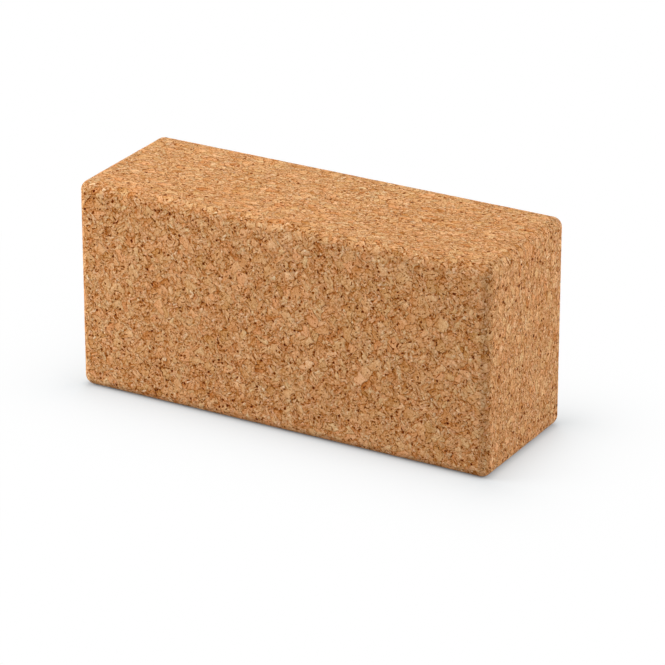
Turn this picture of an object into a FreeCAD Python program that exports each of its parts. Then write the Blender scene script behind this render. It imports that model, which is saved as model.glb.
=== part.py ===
# Yoga block: one brick of pressed cork granules, sawn square and rounded over on every edge.
# It stands on a long narrow face, with the origin at the centre of that face.
# +X runs along the length, +Y from the broad front face to the broad back face, +Z up.
import FreeCAD, Part
import os
import Sketcher

doc = FreeCAD.newDocument("YogaBlock")

# Driving dimensions, in millimetres
driving_sizes = [
    ("block_length", 220, "between the two end faces, along X"),
    ("block_depth", 75, "between the two broad faces, along Y"),
    ("block_height", 105, "from the underside to the top, along Z"),
    ("edge_radius", 5, "round-over of all twelve edges"),
]
sizes = doc.addObject("Spreadsheet::Sheet", "Sizes")
for row, (name, value, meaning) in enumerate(driving_sizes, start=1):
    sizes.set(f"A{row}", name)
    sizes.set(f"B{row}", str(value))
    sizes.setAlias(f"B{row}", name)
    sizes.set(f"C{row}", meaning)
doc.recompute()


def origin_plane(body, role):
    """The body's own origin plane with this role, such as XY_Plane."""
    return next(plane for plane in body.Origin.OriginFeatures if plane.Role == role)


def centred_rectangle(sketch, width_cell, height_cell):
    """A rectangle about the sketch's origin, with both sides bound to cells of the sheet."""
    half_width = sizes.get(width_cell) / 2
    half_height = sizes.get(height_cell) / 2
    corners = [
        FreeCAD.Vector(-half_width, -half_height),
        FreeCAD.Vector(half_width, -half_height),
        FreeCAD.Vector(half_width, half_height),
        FreeCAD.Vector(-half_width, half_height),
    ]
    # A line's points are numbered 1 for its start and 2 for its end, and -1, 1 is the sketch's origin
    start, end, origin = 1, 2, (-1, 1)
    sides = [
        sketch.addGeometry(Part.LineSegment(corner, corners[(index + 1) % 4]))
        for index, corner in enumerate(corners)
    ]
    bottom, right, top, left = sides
    for side, following in zip(sides, [right, top, left, bottom]):
        sketch.addConstraint(Sketcher.Constraint("Coincident", side, end, following, start))
    for side in (bottom, top):
        sketch.addConstraint(Sketcher.Constraint("Horizontal", side))
    for side in (left, right):
        sketch.addConstraint(Sketcher.Constraint("Vertical", side))
    sketch.addConstraint(Sketcher.Constraint("Symmetric", bottom, start, top, start, *origin))

    width = sketch.addConstraint(Sketcher.Constraint("DistanceX", bottom, start, bottom, end, 2 * half_width))
    height = sketch.addConstraint(Sketcher.Constraint("DistanceY", right, start, right, end, 2 * half_height))
    for index, name, cell in ((width, "width", width_cell), (height, "height", height_cell)):
        sketch.renameConstraint(index, name)
        sketch.setExpression(f"Constraints.{name}", f"Sizes.{cell}")


def cork_block():
    """The whole block: its footprint, raised to its height, then rounded over along every edge."""
    body = doc.addObject("PartDesign::Body", "CorkBlock")
    body.Label = "cork_block"

    footprint = body.newObject("Sketcher::SketchObject", "Footprint")
    footprint.AttachmentSupport = [(origin_plane(body, "XY_Plane"), "")]
    footprint.MapMode = "FlatFace"
    centred_rectangle(footprint, "block_length", "block_depth")

    brick = body.newObject("PartDesign::Pad", "SawnBrick")
    brick.Profile = footprint
    brick.setExpression("Length", "Sizes.block_height")
    doc.recompute()

    # One rolling radius on all the edges meets in a ball-shaped corner
    round_over = body.newObject("PartDesign::Fillet", "RoundOver")
    round_over.Base = (brick, [f"Edge{number}" for number in range(1, len(brick.Shape.Edges) + 1)])
    round_over.setExpression("Radius", "Sizes.edge_radius")
    body.Tip = round_over
    return body


bodies = [cork_block()]
doc.recompute()

# Nothing is written unless every object of the document is sound
for item in doc.Objects:
    faults = {"Invalid", "Error"} & set(item.State)
    if faults:
        raise RuntimeError(f"{item.Label} is {', '.join(faults)}")
for body in bodies:
    if body.Shape.isNull() or not body.Shape.isValid():
        raise RuntimeError(f"{body.Label} has no valid shape")

os.makedirs("parts", exist_ok=True)
for body in bodies:
    body.Shape.exportStep(f"parts/{body.Label}.step")
    box = body.Shape.BoundBox
    print(f"{body.Label}: {box.XLength:.2f} x {box.YLength:.2f} x {box.ZLength:.2f} mm,"
          f" {len(body.Shape.Solids)} solid, {body.Shape.Volume / 1e6:.4f} litres")
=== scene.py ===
import math

import bpy
import numpy as np
from mathutils import Euler, Matrix, Vector


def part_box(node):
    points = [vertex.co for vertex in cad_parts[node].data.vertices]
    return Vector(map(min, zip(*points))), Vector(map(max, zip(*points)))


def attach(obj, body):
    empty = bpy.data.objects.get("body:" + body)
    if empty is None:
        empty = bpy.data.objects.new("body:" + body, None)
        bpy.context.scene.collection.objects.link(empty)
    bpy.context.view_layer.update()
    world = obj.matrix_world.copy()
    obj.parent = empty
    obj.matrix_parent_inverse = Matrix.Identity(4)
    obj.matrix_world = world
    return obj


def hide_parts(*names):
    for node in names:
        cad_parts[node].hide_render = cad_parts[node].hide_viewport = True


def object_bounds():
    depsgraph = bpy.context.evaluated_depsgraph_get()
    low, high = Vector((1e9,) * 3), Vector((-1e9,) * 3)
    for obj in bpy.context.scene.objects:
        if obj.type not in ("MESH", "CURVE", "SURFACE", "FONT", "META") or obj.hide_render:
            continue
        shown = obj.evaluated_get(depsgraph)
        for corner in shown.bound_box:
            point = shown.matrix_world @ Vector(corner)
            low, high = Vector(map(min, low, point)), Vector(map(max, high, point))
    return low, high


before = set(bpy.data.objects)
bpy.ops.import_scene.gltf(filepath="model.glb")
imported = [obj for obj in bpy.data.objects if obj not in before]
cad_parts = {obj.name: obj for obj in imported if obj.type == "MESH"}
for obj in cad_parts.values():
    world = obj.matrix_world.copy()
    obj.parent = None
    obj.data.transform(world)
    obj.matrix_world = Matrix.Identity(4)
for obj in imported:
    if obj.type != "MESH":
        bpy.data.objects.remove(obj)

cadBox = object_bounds()
scene = bpy.context.scene
scene.view_settings.view_transform = "Standard"
millimetre = 0.001
print("frame loaded:", sorted(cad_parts))


# Colours are written as they look on a screen, 0 to 255 a channel, and turned into linear light
def paint(red, green, blue):
    shown = np.array([red, green, blue]) / 255
    linear = np.where(shown <= 0.04045, shown / 12.92, ((shown + 0.055) / 1.055) ** 2.4)
    return (*linear.tolist(), 1.0)


# A unit vector from its compass angle, 0 at the front and 90 at the right end, and its angle above level
def direction(azimuth, elevation):
    a, e = math.radians(azimuth), math.radians(elevation)
    return Vector((math.sin(a) * math.cos(e), -math.cos(a) * math.cos(e), math.sin(e)))


# Camera: from a fit to the block's six outer edges in the picture
cameraSet = {
    "azimuth": 29.781,          # degrees round from square on to the front face
    "elevation": 23.253,        # degrees above level
    "distance": 1.8775,         # from the block's middle
    "slideRight": 0.00647,      # how far the camera stands off that line, to its right
    "slideUp": -0.01447,        # and upwards
    "focalPixels": 3984.8,
    "framePixels": 665,
    "sensor": 36.0,             # mm
    "clip": (0.05, 50),         # nearest and farthest that it sees
}


def addCamera(s):
    middle = (cadBox[0] + cadBox[1]) / 2
    back = direction(s["azimuth"], s["elevation"])
    right = Vector((0, 0, 1)).cross(back).normalized()
    up = back.cross(right)
    data = bpy.data.cameras.new("photoCamera")
    data.sensor_width = s["sensor"]
    data.lens = s["focalPixels"] / s["framePixels"] * s["sensor"]
    data.clip_start, data.clip_end = s["clip"]
    camera = bpy.data.objects.new("photoCamera", data)
    place = middle + back * s["distance"] + right * s["slideRight"] + up * s["slideUp"]
    camera.matrix_world = Matrix.Translation(place) @ Matrix((right, up, back)).transposed().to_4x4()
    scene.collection.objects.link(camera)
    scene.camera = camera
    print("camera:", [round(v, 4) for v in place], "lens", round(data.lens, 1))


# Shader maths: a wire is one output socket, and an expression on wires adds its Math nodes
class Wire:
    def __init__(self, tree, socket=None):
        self.tree = tree
        self.socket = socket

    # Any node: its type, its settings, which are set first, and its sockets' values or wires
    def node(self, kind, settings=None, sockets=None, output=0):
        made = self.tree.nodes.new(kind)
        for name, value in (settings or {}).items():
            if name == "stops":
                self.fillRamp(made.color_ramp, value)
            else:
                setattr(made, name, value)
        for name, value in (sockets or {}).items():
            if isinstance(value, Wire):
                self.tree.links.new(value.socket, made.inputs[name])
            else:
                made.inputs[name].default_value = value
        return Wire(self.tree, made.outputs[output] if made.outputs else None)

    # A new ramp has two stops already
    def fillRamp(self, ramp, stops):
        for position, colour in stops[2:]:
            ramp.elements.new(position)
        for element, (position, colour) in zip(ramp.elements, stops):
            element.position = position
            element.color = colour

    def out(self, name):
        return Wire(self.tree, self.socket.node.outputs[name])

    def maths(self, operation, first, second):
        return self.node("ShaderNodeMath", {"operation": operation}, {0: first, 1: second})

    def __add__(self, other):
        return self.maths("ADD", self, other)

    def __radd__(self, other):
        return self.maths("ADD", other, self)

    def __sub__(self, other):
        return self.maths("SUBTRACT", self, other)

    def __rsub__(self, other):
        return self.maths("SUBTRACT", other, self)

    def __mul__(self, other):
        return self.maths("MULTIPLY", self, other)

    def __rmul__(self, other):
        return self.maths("MULTIPLY", other, self)

    def __gt__(self, other):
        return self.maths("GREATER_THAN", self, other)

    def least(self, other):
        return self.maths("MINIMUM", self, other)

    def most(self, other):
        return self.maths("MAXIMUM", self, other)

    # A random value from 0 to 1, moved to lie about 0
    def centred(self):
        return self - 0.5

    # From this value to another by a factor
    def toward(self, other, factor):
        return self + (other - self) * factor

    # 0 below low, 1 above high and a smooth step between; low above high turns it round
    def step(self, low, high):
        if low > high:
            return 1 - self.step(high, low)
        return self.node("ShaderNodeMapRange", {"interpolation_type": "SMOOTHSTEP"},
                         {"Value": self, "From Min": low, "From Max": high})

    # Vectors: this one, and up to two others, through one Vector Math operation
    def vector(self, operation, other=None, third=None):
        given = {index: value for index, value in enumerate((self, other, third)) if value is not None}
        return self.node("ShaderNodeVectorMath", {"operation": operation}, given)

    def times(self, factor):
        return self.node("ShaderNodeVectorMath", {"operation": "SCALE"}, {"Vector": self, "Scale": factor})

    # A fixed vector this many times over
    def along(self, vector):
        return self.node("ShaderNodeVectorMath", {"operation": "SCALE"}, {"Vector": vector, "Scale": self})

    # One part of a vector or colour, 0 to 2
    def part(self, index):
        return self.node("ShaderNodeSeparateXYZ", None, {0: self}, index)

    # Colours and vectors: from this one to another by a factor
    def mixed(self, other, factor):
        return self.node("ShaderNodeMix", {"data_type": "RGBA"}, {0: factor, 6: self, 7: other}, 2)

    # Soft random values from 0 to 1 about this place, so many to the mm; a shift gives another cloud
    def cloud(self, perMillimetre, detail=1.0, shift=None, output=0):
        place = self.vector("ADD", shift) if shift else self
        return self.node("ShaderNodeTexNoise", None,
                         {"Vector": place, "Scale": perMillimetre, "Detail": detail}, output)


# Cork granules: one description, worked out in arrays for the block's surface and in nodes for its colour
granuleSet = {
    "pressed": (1.0, 1 / 0.55, 1.0),    # pressed along the depth, so granules are flatter that way
    "waves": [                          # bend granules out of plain polygons: length, reach in mm, turn
        (9.7, 0.75, (0.7, 1.1, 0.4)),
        (3.9, 0.34, (1.9, 0.3, 1.3)),
    ],
    "cells": {                          # mm across, and a shift in mm that keeps the kinds apart
        "coarse": (4.7, (3.7, 8.1, 5.3)),
        "middle": (2.65, (51.3, 17.9, 33.1)),
        "fine": (1.5, (11.9, 71.7, 57.5)),
        "pit": (2.6, (87.1, 29.3, 91.7)),
    },
    "coarseShare": 0.30,                # how many coarse granules stay whole
    "middleShare": 0.45,                # how many middle ones do, in the rest
    "pitShare": 0.42,                   # how many pit cells hold a pit
    "pitRadius": (0.20, 0.76),          # mm; most are nearer the smaller
    "sawnPits": 1.18,                   # pits are so many times wider on the faces sawn across the press:
    "sawnFrom": (4.0, 1.0),             # mm in from the broad faces where that is full, and where it ends
}


# Random triples from 0 to 1 for whole-number cells: the renderer's own hash, so that its cells are these
def cellRandom(cells):
    keys = np.ascontiguousarray(cells, np.float32).view(np.uint32)
    x, y, z = keys[..., 0], keys[..., 1], keys[..., 2]

    def turned(value, bits):
        return (value << np.uint32(bits)) | (value >> np.uint32(32 - bits))

    def stirred(a, b, c):
        for bits in (4, 6, 8, 16, 19, 4):
            a = (a - c) ^ turned(c, bits)
            c = c + b
            a, b, c = b, c, a
        return a, b, c

    def settled(a, b, c):
        for bits in (14, 11, 25, 16, 4, 14, 24):
            c = (c ^ b) - turned(b, bits)
            a, b, c = b, c, a
        return b

    def seed(count):
        return np.uint32((0xdeadbeef + 4 * count + 13) & 0xffffffff)

    triple = [settled(x + seed(3), y + seed(3), z + seed(3))]
    for extra in (1.0, 2.0):
        a, b, c = stirred(x + seed(4), y + seed(4), z + seed(4))
        triple.append(settled(a + np.float32(extra).view(np.uint32), b, c))
    return np.stack(triple, -1) / float(0xffffffff)


# Cells about scattered centres, in arrays: for each point its cell's random triple, how far off the
# centre is, and how far off the nearest wall is, which lies half way to the next centre; lengths in mm
def cellsAt(points, size, shift):
    place = (points + shift) / size
    offsets = np.stack(np.meshgrid(*[[-1, 0, 1]] * 3, indexing="ij"), -1).reshape(-1, 3)
    cells = np.floor(place)[:, None] + offsets
    away = cells + cellRandom(cells) - place[:, None]
    reach = np.linalg.norm(away, axis=2)
    rows = np.arange(len(place))
    first = reach.argmin(1)
    near = away[rows, first][:, None]
    between = away - near
    span = np.linalg.norm(between, axis=2)
    span[rows, first] = np.inf
    wall = ((away + near) / 2 * between).sum(2) / span
    wall[rows, first] = np.inf
    return cellRandom(cells[rows, first]), reach[rows, first] * size, wall.min(1) * size


# The same cells in nodes: the spot's place in cell sizes, and the texture of its cells
def cellTexture(place, size, shift, feature):
    moved = place.vector("MULTIPLY_ADD", (1 / size,) * 3, tuple(v / size for v in shift))
    settings = {"voronoi_dimensions": "3D", "feature": feature}
    return moved, moved.node("ShaderNodeTexVoronoi", settings, {"Vector": moved, "Scale": 1.0})


# Each spot's random triple, and its way from its cell's centre in cell sizes
def cellWires(place, size, shift):
    moved, near = cellTexture(place, size, shift, "F1")
    return near.out("Color"), moved.vector("SUBTRACT", near.out("Position"))


# And how far off the nearest wall is, in mm
def wallWire(place, size, shift):
    moved, edge = cellTexture(place, size, shift, "DISTANCE_TO_EDGE")
    return edge * size


# Mm from the middle of the depth: up to the first a face is a sawn one, and from the second a broad one
def sawnSpan(g):
    return [cadBox[1].y / millimetre - inset for inset in g["sawnFrom"]]


def smoothStep(value, low, high):
    t = np.clip((value - low) / (high - low), 0, 1)
    return t * t * (3 - 2 * t)


# Block: a rounded brick on a lattice. Along each axis the lattice has a flat run and, at both ends, half
# of the round-over in equal angles. A point of its skin stands on the brick's core, plus the edge radius
# along the direction (lean x, lean y, lean z), which turns from face to face through edges and corners.
blockSet = {
    "node": "cork_block",
    "step": 0.98 * millimetre,          # between the lattice's lines on a flat face
    "edgeRadius": 5.0 * millimetre,
    "edgeSteps": 5,                     # lattice lines in half of a round-over
    "edgeWear": 0.28 * millimetre,      # most that edges wear, times 0.3 on an edge and 0.4 on a corner
    "wearWaves": [                      # where they do: turn for each pressed mm along the axes, and start
        ((0.11, 0.21, 0.17), 0.0),
        ((0.29, -0.13, 0.23), 2.0),
    ],
    "seamDepth": 0.05 * millimetre,     # between granules
    "seamReach": 0.8,                   # mm to each side
    "sinkDepth": 0.03 * millimetre,     # of the lowest granules
    "pitDepth": 0.22 * millimetre,
    "pitSlope": (0.5, 0.3),             # from this share of a pit's radius to these mm beyond it
    "batches": 8,                       # points are worked out in so many parts, to save memory
    "mapGap": 2.0 * millimetre,         # between the faces on the texture map
}


def axisLines(half, s):
    flat = half - s["edgeRadius"]
    run = np.linspace(-flat, flat, round(2 * flat / s["step"]) + 1)
    angles = np.linspace(0, math.pi / 4, s["edgeSteps"] + 1)[1:]
    bend = np.full(s["edgeSteps"], flat)
    core = np.concatenate([-bend, run, bend])
    lean = np.concatenate([-np.tan(angles[::-1]), 0 * run, np.tan(angles)])
    arc = np.concatenate([-bend - angles[::-1] * s["edgeRadius"], run, bend + angles * s["edgeRadius"]])
    return core, lean, arc


# How far the surface lies inside the smooth brick: seams between granules, granules that sit low, pits,
# and edges that are worn rounder where slow waves along the block say so
def corkDepth(points, normals, s, g):
    plain = points / millimetre
    place = plain * g["pressed"]
    bent = place.copy()
    for length, reach, turn in g["waves"]:
        matrix = np.array(Euler(turn).to_matrix())
        bent += reach * np.sin(place * (2 * math.pi / length) @ matrix.T)
    coarse, coarseReach, coarseWall = cellsAt(bent, *g["cells"]["coarse"])
    middle, middleReach, middleWall = cellsAt(bent, *g["cells"]["middle"])
    whole = coarse[:, 0] > 1 - g["coarseShare"]
    height = np.where(whole, coarse[:, 2], middle[:, 2])
    wall = np.where(whole, coarseWall, np.minimum(coarseWall, middleWall))
    seams = s["seamDepth"] * (1 - smoothStep(wall, 0.0, s["seamReach"]))

    pits, pitReach, pitWall = cellsAt(plain, *g["cells"]["pit"])
    small, large = g["pitRadius"]
    radius = (small + (large - small) * pits[:, 1] ** 2) * (pits[:, 0] > 1 - g["pitShare"])
    broad = smoothStep(np.abs(plain[:, 1]), *sawnSpan(g))
    radius = radius * (g["sawnPits"] + (1 - g["sawnPits"]) * broad)
    share, beyond = s["pitSlope"]
    pit = (1 - smoothStep(pitReach, share * radius, radius + beyond)) * (radius > 0)

    slow = np.mean([np.sin(place @ turn + start) for turn, start in s["wearWaves"]], axis=0)
    worn = s["edgeWear"] * (1 - np.abs(normals).max(1)) * (1 + slow) / 2
    return worn + seams + s["sinkDepth"] * height + s["pitDepth"] * pit


# Six faces, each a grid of quads that points outwards, and each a rectangle on the texture map
def blockFaces(arcs, number, gap):
    length, depth, height = (arc[-1] - arc[0] for arc in arcs)
    column = length + 2 * gap
    rows = np.cumsum([gap, height + gap, depth + gap, height + gap])
    mapPlaces = {                       # axis and side of a face: its lower left corner on the map
        (1, 0): (gap, rows[0]),
        (2, -1): (gap, rows[1]),
        (1, -1): (gap, rows[2]),
        (2, 0): (gap, rows[3]),
        (0, -1): (column, rows[0]),
        (0, 0): (column, rows[1]),
    }
    mapSize = np.array([column + depth + gap, rows[3] + depth + gap])
    quads, mapped = [], []
    for (axis, side), place in mapPlaces.items():
        grid = np.take(number, side, axis)
        across, along = (arcs[other] - arcs[other][0] for other in range(3) if other != axis)
        spots = (np.stack(np.meshgrid(across, along, indexing="ij"), -1) + place) / mapSize
        corners = [np.s_[:-1, :-1], np.s_[1:, :-1], np.s_[1:, 1:], np.s_[:-1, 1:]]
        if (side == 0) != (axis == 1):
            corners.reverse()
        quads.append(np.stack([grid[corner] for corner in corners], -1).reshape(-1, 4))
        mapped.append(np.stack([spots[corner] for corner in corners], -2).reshape(-1, 2))
    return np.concatenate(quads), np.concatenate(mapped)


def addBlock(s, g):
    low, high = (np.array(corner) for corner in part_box(s["node"]))
    lines = [axisLines(half, s) for half in (high - low) / 2]
    shape = [len(core) for core, lean, arc in lines]
    inner = np.zeros(shape, bool)
    inner[1:-1, 1:-1, 1:-1] = True
    skin = np.nonzero(~inner)
    number = np.cumsum(~inner).reshape(shape) - 1
    cores = np.stack([lines[axis][0][skin[axis]] for axis in range(3)], -1)
    normals = np.stack([lines[axis][1][skin[axis]] for axis in range(3)], -1)
    normals /= np.linalg.norm(normals, axis=1, keepdims=True)
    points = (low + high) / 2 + cores + s["edgeRadius"] * normals
    batches = np.array_split(np.arange(len(points)), s["batches"])
    depth = np.concatenate([corkDepth(points[rows], normals[rows], s, g) for rows in batches])
    points -= normals * depth[:, None]
    quads, mapped = blockFaces([arc for core, lean, arc in lines], number, s["mapGap"])

    mesh = bpy.data.meshes.new("corkBlock")
    mesh.from_pydata(points, [], quads)
    mesh.uv_layers.new(name="OFBake").uv.foreach_set("vector", mapped.astype(np.float32).ravel())
    mesh.polygons.foreach_set("use_smooth", np.ones(len(quads), bool))
    mesh.update()
    block = bpy.data.objects.new("corkBlock", mesh)
    scene.collection.objects.link(block)
    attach(block, "root")
    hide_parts(s["node"])
    deepest = round(depth.max() / millimetre, 2)
    print("block:", len(points), "points", 2 * len(quads), "triangles, deepest", deepest, "mm")
    return block


# Cork: the tone of each spot runs from pit brown to cream, and each granule has its own tint. Of two
# numbers for where a mark shows, the first is where it starts and the second where it is full.
corkSet = {
    "tones": [
        (0.0, paint(90, 26, 0)),
        (0.2, paint(148, 75, 4)),
        (0.36, paint(187, 118, 55)),
        (0.5, paint(212, 150, 96)),
        (0.66, paint(230, 178, 129)),
        (0.84, paint(244, 204, 159)),
        (1.0, paint(254, 226, 189)),
    ],
    "middle": 0.606,                    # tone of a plain spot, which each feature moves by its own tone
    "pinkTint": (0.11, -0.075, -0.08),  # red, green and blue from the greenest granules to the pinkest,
    "pinkShared": 0.3,                  # and how far all of a coarse granule shares it
    "goldTint": (0.0, 0.0, -0.14),      # from the palest granules to the most golden,
    "goldShared": 0.4,                  # and how far all of a middle one shares it
    "clouds": {                         # random values: so many to the mm, detail, shift
        "grains": (1.8, 1.0),
        "patches": (0.045, 2.0),
        "gaps": (0.9, 1.0, (37.0, 11.0, 5.0)),
        "breaks": (0.42, 1.0),
        "cracks": (0.85, 1.0, (5.0, 23.0, 61.0)),
        "specks": (1.5, 0.0, (61.0, 5.0, 23.0)),
        "flecks": (0.8, 0.0, (7.0, 31.0, 17.0)),
    },
    "jag": (1.3, 0.5),                  # rough edges of granules: so many to the mm, and reach in mm
    "pitJag": 1.0,                      # reach in mm round the pits
    "wholeness": 0.8,                   # how far the larger granules hide the finest inside them
    "granuleTone": 0.27,                # from one granule to the next,
    "granuleEven": 0.35,                # and how much less of it among the larger
    "coarseTone": 0.02,                 # from one coarse granule to the next
    "wholeTone": 0.03,                  # the larger granules are darker
    "paintedTiltShade": 0.43,                  # painted shade: a granule lighter on one side and darker on the other, as if tilted to the light
    "creamAndHighlightAt": (0.88, 0.97),            # the palest of the small granules, partly a painted highlight
    "creamAndHighlightTone": 0.07,
    "streaks": ((0.45, 0.45, 1.5), 2.0),    # so many to the mm along and across, and detail
    "streakTurn": 6.3,                  # radians, the most that a granule turns its streaks
    "streakTone": 0.50,
    "grainTone": 0.42,
    "patchTone": 0.09,
    "gapWidth": (-0.74, 0.96),          # mm; below 0 there is none
    "gapAt": (-0.06, 0.12),             # mm inside the gap
    "gapNarrow": 0.15,                  # mm; up to this width a gap has its first tone,
    "gapTone": (0.02, 0.34),            # and each mm more adds the second
    "outlineAt": (0.18, 0.02),          # mm from the wall
    "outlineThin": 0.04,                # mm less on the middle granules
    "outlineBreak": (0.64, 0.46),
    "outlineTone": 0.19,
    "crackAt": (0.04, 0.0),
    "crackBreak": (0.42, 0.56),
    "crackTone": 0.08,
    "speckAt": (0.64, 0.74),
    "speckTone": 0.13,
    "fleckAt": (0.44, 0.26),            # mm from two walls together
    "fleckBreak": (0.60, 0.68),
    "fleckTone": 0.41,
    "pitAt": (-0.04, 0.09),             # mm inside the pit
    "pitTone": 0.42,
    "wallRise": (0.5, 0.05),            # fine relief in mm: granules rise so far in from a wall, by this
    "slopeRise": 0.2,
    "streakRise": 0.05,                 # of streaks and of grains
    "markDepth": 0.24,                  # of gaps, flecks and pits
    "roughness": (0.72, 0.16),          # plain, and what streaks add
    "sheen": 0.07,
}


# Each spot's place in mm: plain, pressed, and with the rough edges of granules and of pits
def corkPlaces(tree, c, g):
    plain = Wire(tree).node("ShaderNodeTexCoord", output="Object").times(1 / millimetre)
    place = plain.vector("MULTIPLY", g["pressed"])
    bent = place
    for length, reach, turn in g["waves"]:
        wave = place.node("ShaderNodeMapping", None,
                          {"Vector": place, "Rotation": turn, "Scale": (2 * math.pi / length,) * 3})
        bent = wave.vector("SINE").vector("MULTIPLY_ADD", (reach,) * 3, bent)
    perMillimetre, reach = c["jag"]
    shaken = place.cloud(perMillimetre, output="Color").vector("SUBTRACT", (0.5,) * 3)
    jagged = shaken.vector("MULTIPLY_ADD", (reach,) * 3, bent)
    pitPlace = shaken.vector("MULTIPLY_ADD", (c["pitJag"],) * 3, plain)
    return plain, place, jagged, pitPlace


# Pits about scattered centres, wider on the sawn faces
def pitWire(plain, pitPlace, c, g):
    size, shift = g["cells"]["pit"]
    own, way = cellWires(pitPlace, size, shift)
    small, large = g["pitRadius"]
    largeness = own.part(1) * own.part(1)
    radius = (small + (large - small) * largeness) * (own.part(0) > 1 - g["pitShare"])
    broad = plain.vector("ABSOLUTE").part(1).step(*sawnSpan(g))
    radius = radius * (g["sawnPits"] + (1 - g["sawnPits"]) * broad)
    return (radius - way.vector("LENGTH").out("Value") * size).step(*c["pitAt"])


def corkMaterial(c, g):
    material = bpy.data.materials.new("pressedCork")
    material.use_nodes = True
    tree = material.node_tree
    tree.nodes.clear()
    plain, place, jagged, pitPlace = corkPlaces(tree, c, g)
    clouds = c["clouds"]

    # Granules of three sizes, the smaller where the larger is broken up
    kinds = [g["cells"][name] for name in ("coarse", "middle", "fine")]
    (coarse, coarseWay), (middle, middleWay), (fine, fineWay) = [cellWires(jagged, *kind) for kind in kinds]
    coarseWall, middleWall, fineWall = [wallWire(jagged, *kind) for kind in kinds]
    coarseWhole = (coarse.part(0) > 1 - g["coarseShare"]) * c["wholeness"]
    middleWhole = (middle.part(0) > 1 - g["middleShare"]) * c["wholeness"]
    whole = coarseWhole.most(middleWhole)
    own = fine.mixed(middle, middleWhole).mixed(coarse, coarseWhole)
    way = fineWay.mixed(middleWay, middleWhole).mixed(coarseWay, coarseWhole)
    lean = own.vector("SUBTRACT", (0.5,) * 3)
    slope = way.vector("DOT_PRODUCT", lean).out("Value")
    wall = middleWall.least(fineWall.toward(middleWall, middleWhole)).toward(coarseWall, coarseWhole)
    wall = wall.least(coarseWall)

    # Streaks run their own way in each granule
    turn = own.part(1) * c["streakTurn"]
    turned = place.node("ShaderNodeVectorRotate", None, {"Vector": place, "Axis": lean, "Angle": turn})
    perMillimetre, detail = c["streaks"]
    streaks = turned.vector("MULTIPLY", perMillimetre).cloud(1.0, detail)
    grains = place.cloud(*clouds["grains"])
    patches = place.cloud(*clouds["patches"])

    # Gaps between granules come and go, and the widest are the darkest
    narrowest, widest = c["gapWidth"]
    width = narrowest + place.cloud(*clouds["gaps"]) * (widest - narrowest)
    gap = (width - wall).step(*c["gapAt"])
    narrowTone, widthTone = c["gapTone"]
    dark = narrowTone + (width - c["gapNarrow"]).most(0) * widthTone

    # Broken outlines of the larger granules, thin cracks, specks, and flecks where two walls meet
    broken = place.cloud(*clouds["breaks"])
    outline = coarseWall.least(middleWall + c["outlineThin"]).step(*c["outlineAt"])
    outline = outline * broken.step(*c["outlineBreak"])
    level = place.cloud(*clouds["cracks"]).centred()
    crack = level.most(0 - level).step(*c["crackAt"]) * broken.step(*c["crackBreak"])
    speck = jagged.cloud(*clouds["specks"]).step(*c["speckAt"])
    fleck = (middleWall + fineWall).step(*c["fleckAt"])
    fleck = fleck * jagged.cloud(*clouds["flecks"]).step(*c["fleckBreak"])
    pit = pitWire(plain, pitPlace, c, g)

    even = 1 - c["granuleEven"] * whole
    # Cream: the palest small granules, which partly stand in as painted highlights
    cream = own.part(2).step(*c["creamAndHighlightAt"]) * (1 - whole)
    tone = c["middle"] + own.part(2).centred() * c["granuleTone"] * even - whole * c["wholeTone"]
    # The slope term is painted shade: each granule is lighter on one side and darker on the other, as if
    # tilted to the light
    tone = tone + coarse.part(2).centred() * c["coarseTone"] + slope * c["paintedTiltShade"]
    tone = tone + streaks.centred() * c["streakTone"] + grains.centred() * c["grainTone"]
    tone = tone + patches.centred() * c["patchTone"] + cream * c["creamAndHighlightTone"]
    tone = tone - outline * c["outlineTone"] - crack * c["crackTone"] - speck * c["speckTone"]
    tone = tone - gap * dark - fleck * c["fleckTone"] - pit * c["pitTone"]
    colour = tone.node("ShaderNodeValToRGB", {"stops": c["tones"]}, {"Fac": tone})
    pink = own.part(1).toward(coarse.part(1), c["pinkShared"]).centred()
    gold = own.part(0).toward(middle.part(2), c["goldShared"]).centred()
    tint = pink.along(c["pinkTint"]).vector("ADD", gold.along(c["goldTint"])).vector("ADD", (1.0,) * 3)
    colour = colour.vector("MULTIPLY", tint)

    rounding, wallRise = c["wallRise"]
    marks = pit.most(gap).most(fleck)
    height = wall.step(0.0, rounding) * wallRise + slope * c["slopeRise"]
    height = height + (streaks + grains) * c["streakRise"] - marks * c["markDepth"]
    bump = height.node("ShaderNodeBump", None, {"Height": height, "Distance": millimetre, "Strength": 1.0})
    plainRough, streakRough = c["roughness"]
    surface = colour.node("ShaderNodeBsdfPrincipled", None, {
        "Base Color": colour,
        "Roughness": plainRough + streakRough * streaks,
        "Normal": bump,
        "Specular IOR Level": c["sheen"],
    })
    surface.node("ShaderNodeOutputMaterial", None, {"Surface": surface})
    print("cork:", len(tree.nodes), "nodes")
    return material


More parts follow.
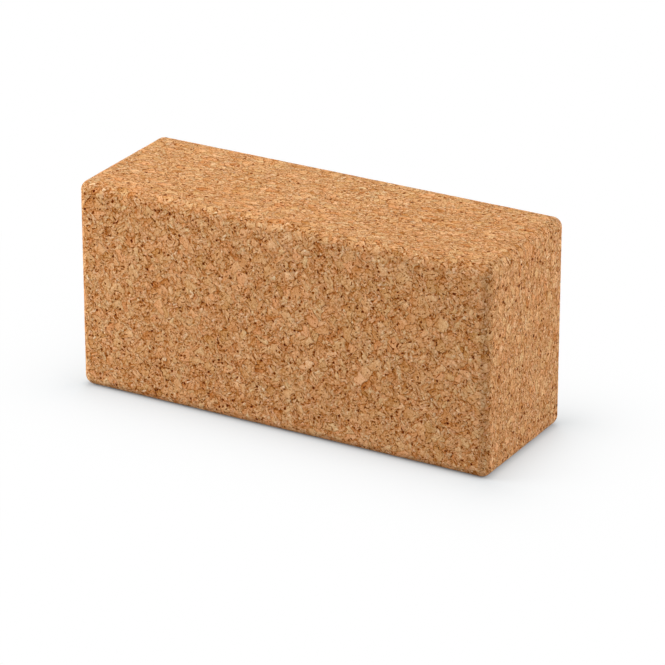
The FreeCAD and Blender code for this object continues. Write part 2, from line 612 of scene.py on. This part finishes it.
# Stage: a pale floor that shows white to the camera and keeps the block's shadow near it, with a painted
# contact shadow at its foot and painted white that cuts the shadow short further out, and soft lamps all
# round
plainWhite = (1.0, 1.0, 1.0)
stageSet = {
    "floorSize": 6.0,
    "bounce": 0.55,                     # floor's share of light sent back to the block
    "shown": (0.28, 0.30, 0.312),       # floor as the camera sees it: this share of its light, which the
    "glow": (0.50, 0.50, 0.50),         # block warms, plus this much, which makes it a neutral near-white
    "paintedContactShadow": (0.85, 0.0032, 2.0),     # painted contact shadow: share of the glow lost under the block, step to half of it, power
    "paintedWhiteFade": (0.0104, 1.0),              # painted white past the block that cuts its shadow short: step to half of the way, power
    "lampDistance": 1.3,
    "lampSize": 0.7,
    "lamps": {                          # azimuth, elevation, level, colour
        "leftLamp": (-60, 30, 1.11, plainWhite),
        "frontLamp": (0, 55, 0.12, plainWhite),
        "rightLamp": (90, 30, 0.56, plainWhite),
        "backLeftLamp": (-150, 55, 0.42, (0.85, 0.97, 1.0)),
        "backRightLamp": (150, 8, 0.48, plainWhite),
    },
}


# Camera, mirror and glass rays see the white background
def seenDirectly(start):
    ray = start.node("ShaderNodeLightPath")
    return ray.out("Is Camera Ray").most(ray.out("Is Glossy Ray")).most(ray.out("Is Transmission Ray"))


def addFloor(s, edgeRadius):
    half = s["floorSize"] / 2
    corners = [(-half, -half, 0), (half, -half, 0), (half, half, 0), (-half, half, 0)]
    mesh = bpy.data.meshes.new("floor")
    mesh.from_pydata(corners, [], [(0, 1, 2, 3)])
    floor = bpy.data.objects.new("floor", mesh)
    scene.collection.objects.link(floor)
    material = bpy.data.materials.new("paleFloor")
    material.use_nodes = True
    material.node_tree.nodes.clear()
    start = Wire(material.node_tree)
    spot = start.node("ShaderNodeTexCoord", output="Object").vector("ABSOLUTE")

    # What is left past a rectangle inset from the block's outline: 0.5 ^ ((reach / step) ^ power)
    def left(inset, step, power):
        past = spot.vector("SUBTRACT", (cadBox[1].x - inset, cadBox[1].y - inset, 0.0))
        reach = past.vector("MAXIMUM", (0.0, 0.0, 0.0)).vector("LENGTH").out("Value")
        return reach.maths("POWER", 0.5, reach.maths("POWER", reach * (1 / step), power))

    plain = start.node("ShaderNodeBsdfDiffuse", None, {"Color": (s["bounce"],) * 3 + (1,)})
    shown = start.node("ShaderNodeBsdfDiffuse", None, {"Color": (*s["shown"], 1)})
    # Painted contact shadow: the glow is darkened near the block's foot by distance from its outline
    lost, step, power = s["paintedContactShadow"]
    glowLeftByPaintedShadow = 1 - lost * left(edgeRadius, step, power)
    glow = start.node("ShaderNodeEmission", None, {"Color": glowLeftByPaintedShadow.along(s["glow"]), "Strength": 1.0})
    white = start.node("ShaderNodeEmission", None, {"Strength": 1.0})
    lit = start.node("ShaderNodeAddShader", None, {0: shown, 1: glow})
    # Painted light: past the block the floor turns plain white by distance, which cuts the block's shadow
    # short
    seen = start.node("ShaderNodeMixShader", None, {0: left(0.0, *s["paintedWhiteFade"]), 1: white, 2: lit})
    both = start.node("ShaderNodeMixShader", None, {0: seenDirectly(start), 1: plain, 2: seen})
    start.node("ShaderNodeOutputMaterial", None, {"Surface": both})
    mesh.materials.append(material)


def addLight(s):
    world = bpy.data.worlds.new("studio")
    scene.world = world
    world.use_nodes = True
    world.node_tree.nodes.clear()
    start = Wire(world.node_tree)
    seen = seenDirectly(start)
    white = start.node("ShaderNodeBackground", None, {"Color": (*plainWhite, 1), "Strength": seen})
    start.node("ShaderNodeOutputWorld", None, {"Surface": white})
    middle = (cadBox[0] + cadBox[1]) / 2
    for name, (azimuth, elevation, level, colour) in s["lamps"].items():
        data = bpy.data.lights.new(name, "AREA")
        data.shape = "DISK"
        data.size = s["lampSize"]
        data.color = colour
        # A white surface square to the lamp shows at this level
        data.energy = level * (math.pi * s["lampDistance"]) ** 2
        lamp = bpy.data.objects.new(name, data)
        away = direction(azimuth, elevation)
        lamp.location = middle + away * s["lampDistance"]
        lamp.rotation_mode = "QUATERNION"
        lamp.rotation_quaternion = away.to_track_quat("Z", "Y")
        lamp.visible_camera = False
        scene.collection.objects.link(lamp)
    print("stage:", len(s["lamps"]), "lamps")


addCamera(cameraSet)
block = addBlock(blockSet, granuleSet)
block.data.materials.append(corkMaterial(corkSet, granuleSet))
addFloor(stageSet, blockSet["edgeRadius"])
addLight(stageSet)
